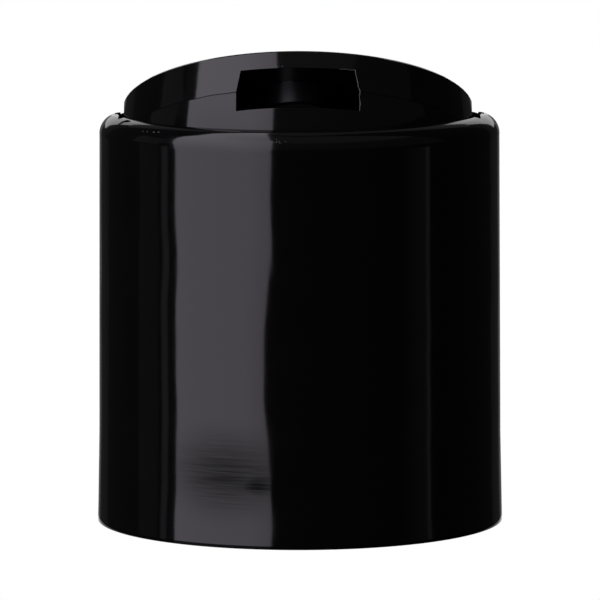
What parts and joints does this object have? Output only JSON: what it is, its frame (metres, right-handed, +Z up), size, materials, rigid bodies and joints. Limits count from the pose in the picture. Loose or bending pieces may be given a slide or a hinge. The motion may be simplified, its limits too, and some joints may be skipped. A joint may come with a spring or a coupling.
{
  "type": "disc top cap",
  "caption": "Smooth-skirted screw cap for a bottle, with a press-to-tilt disc in its top that raises a rectangular pouring slot; shown open",
  "frame": {"origin": "centre of the cap's foot, on the plane that it stands on", "axes": "+Z up along the cap's axis, out of the bottle; -Y toward the side that pours; X along the disc's pivots"},
  "size_m": [0.0274, 0.0274, 0.0325],
  "materials": {
    "body_plastic": "glossy black moulded polypropylene",
    "disc_plastic": "glossy black moulded polypropylene"
  },
  "bodies": {
    "cap": {"body": "body_plastic"},
    "actuator": {"disc": "disc_plastic"}
  },
  "joints": [
    {"name": "disc_tilt", "type": "hinge", "parent": "cap", "child": "actuator", "pos_m": [0, 0, 0.0253], "axis": [1, 0, 0], "range_deg": [0, 24]}
  ]
}
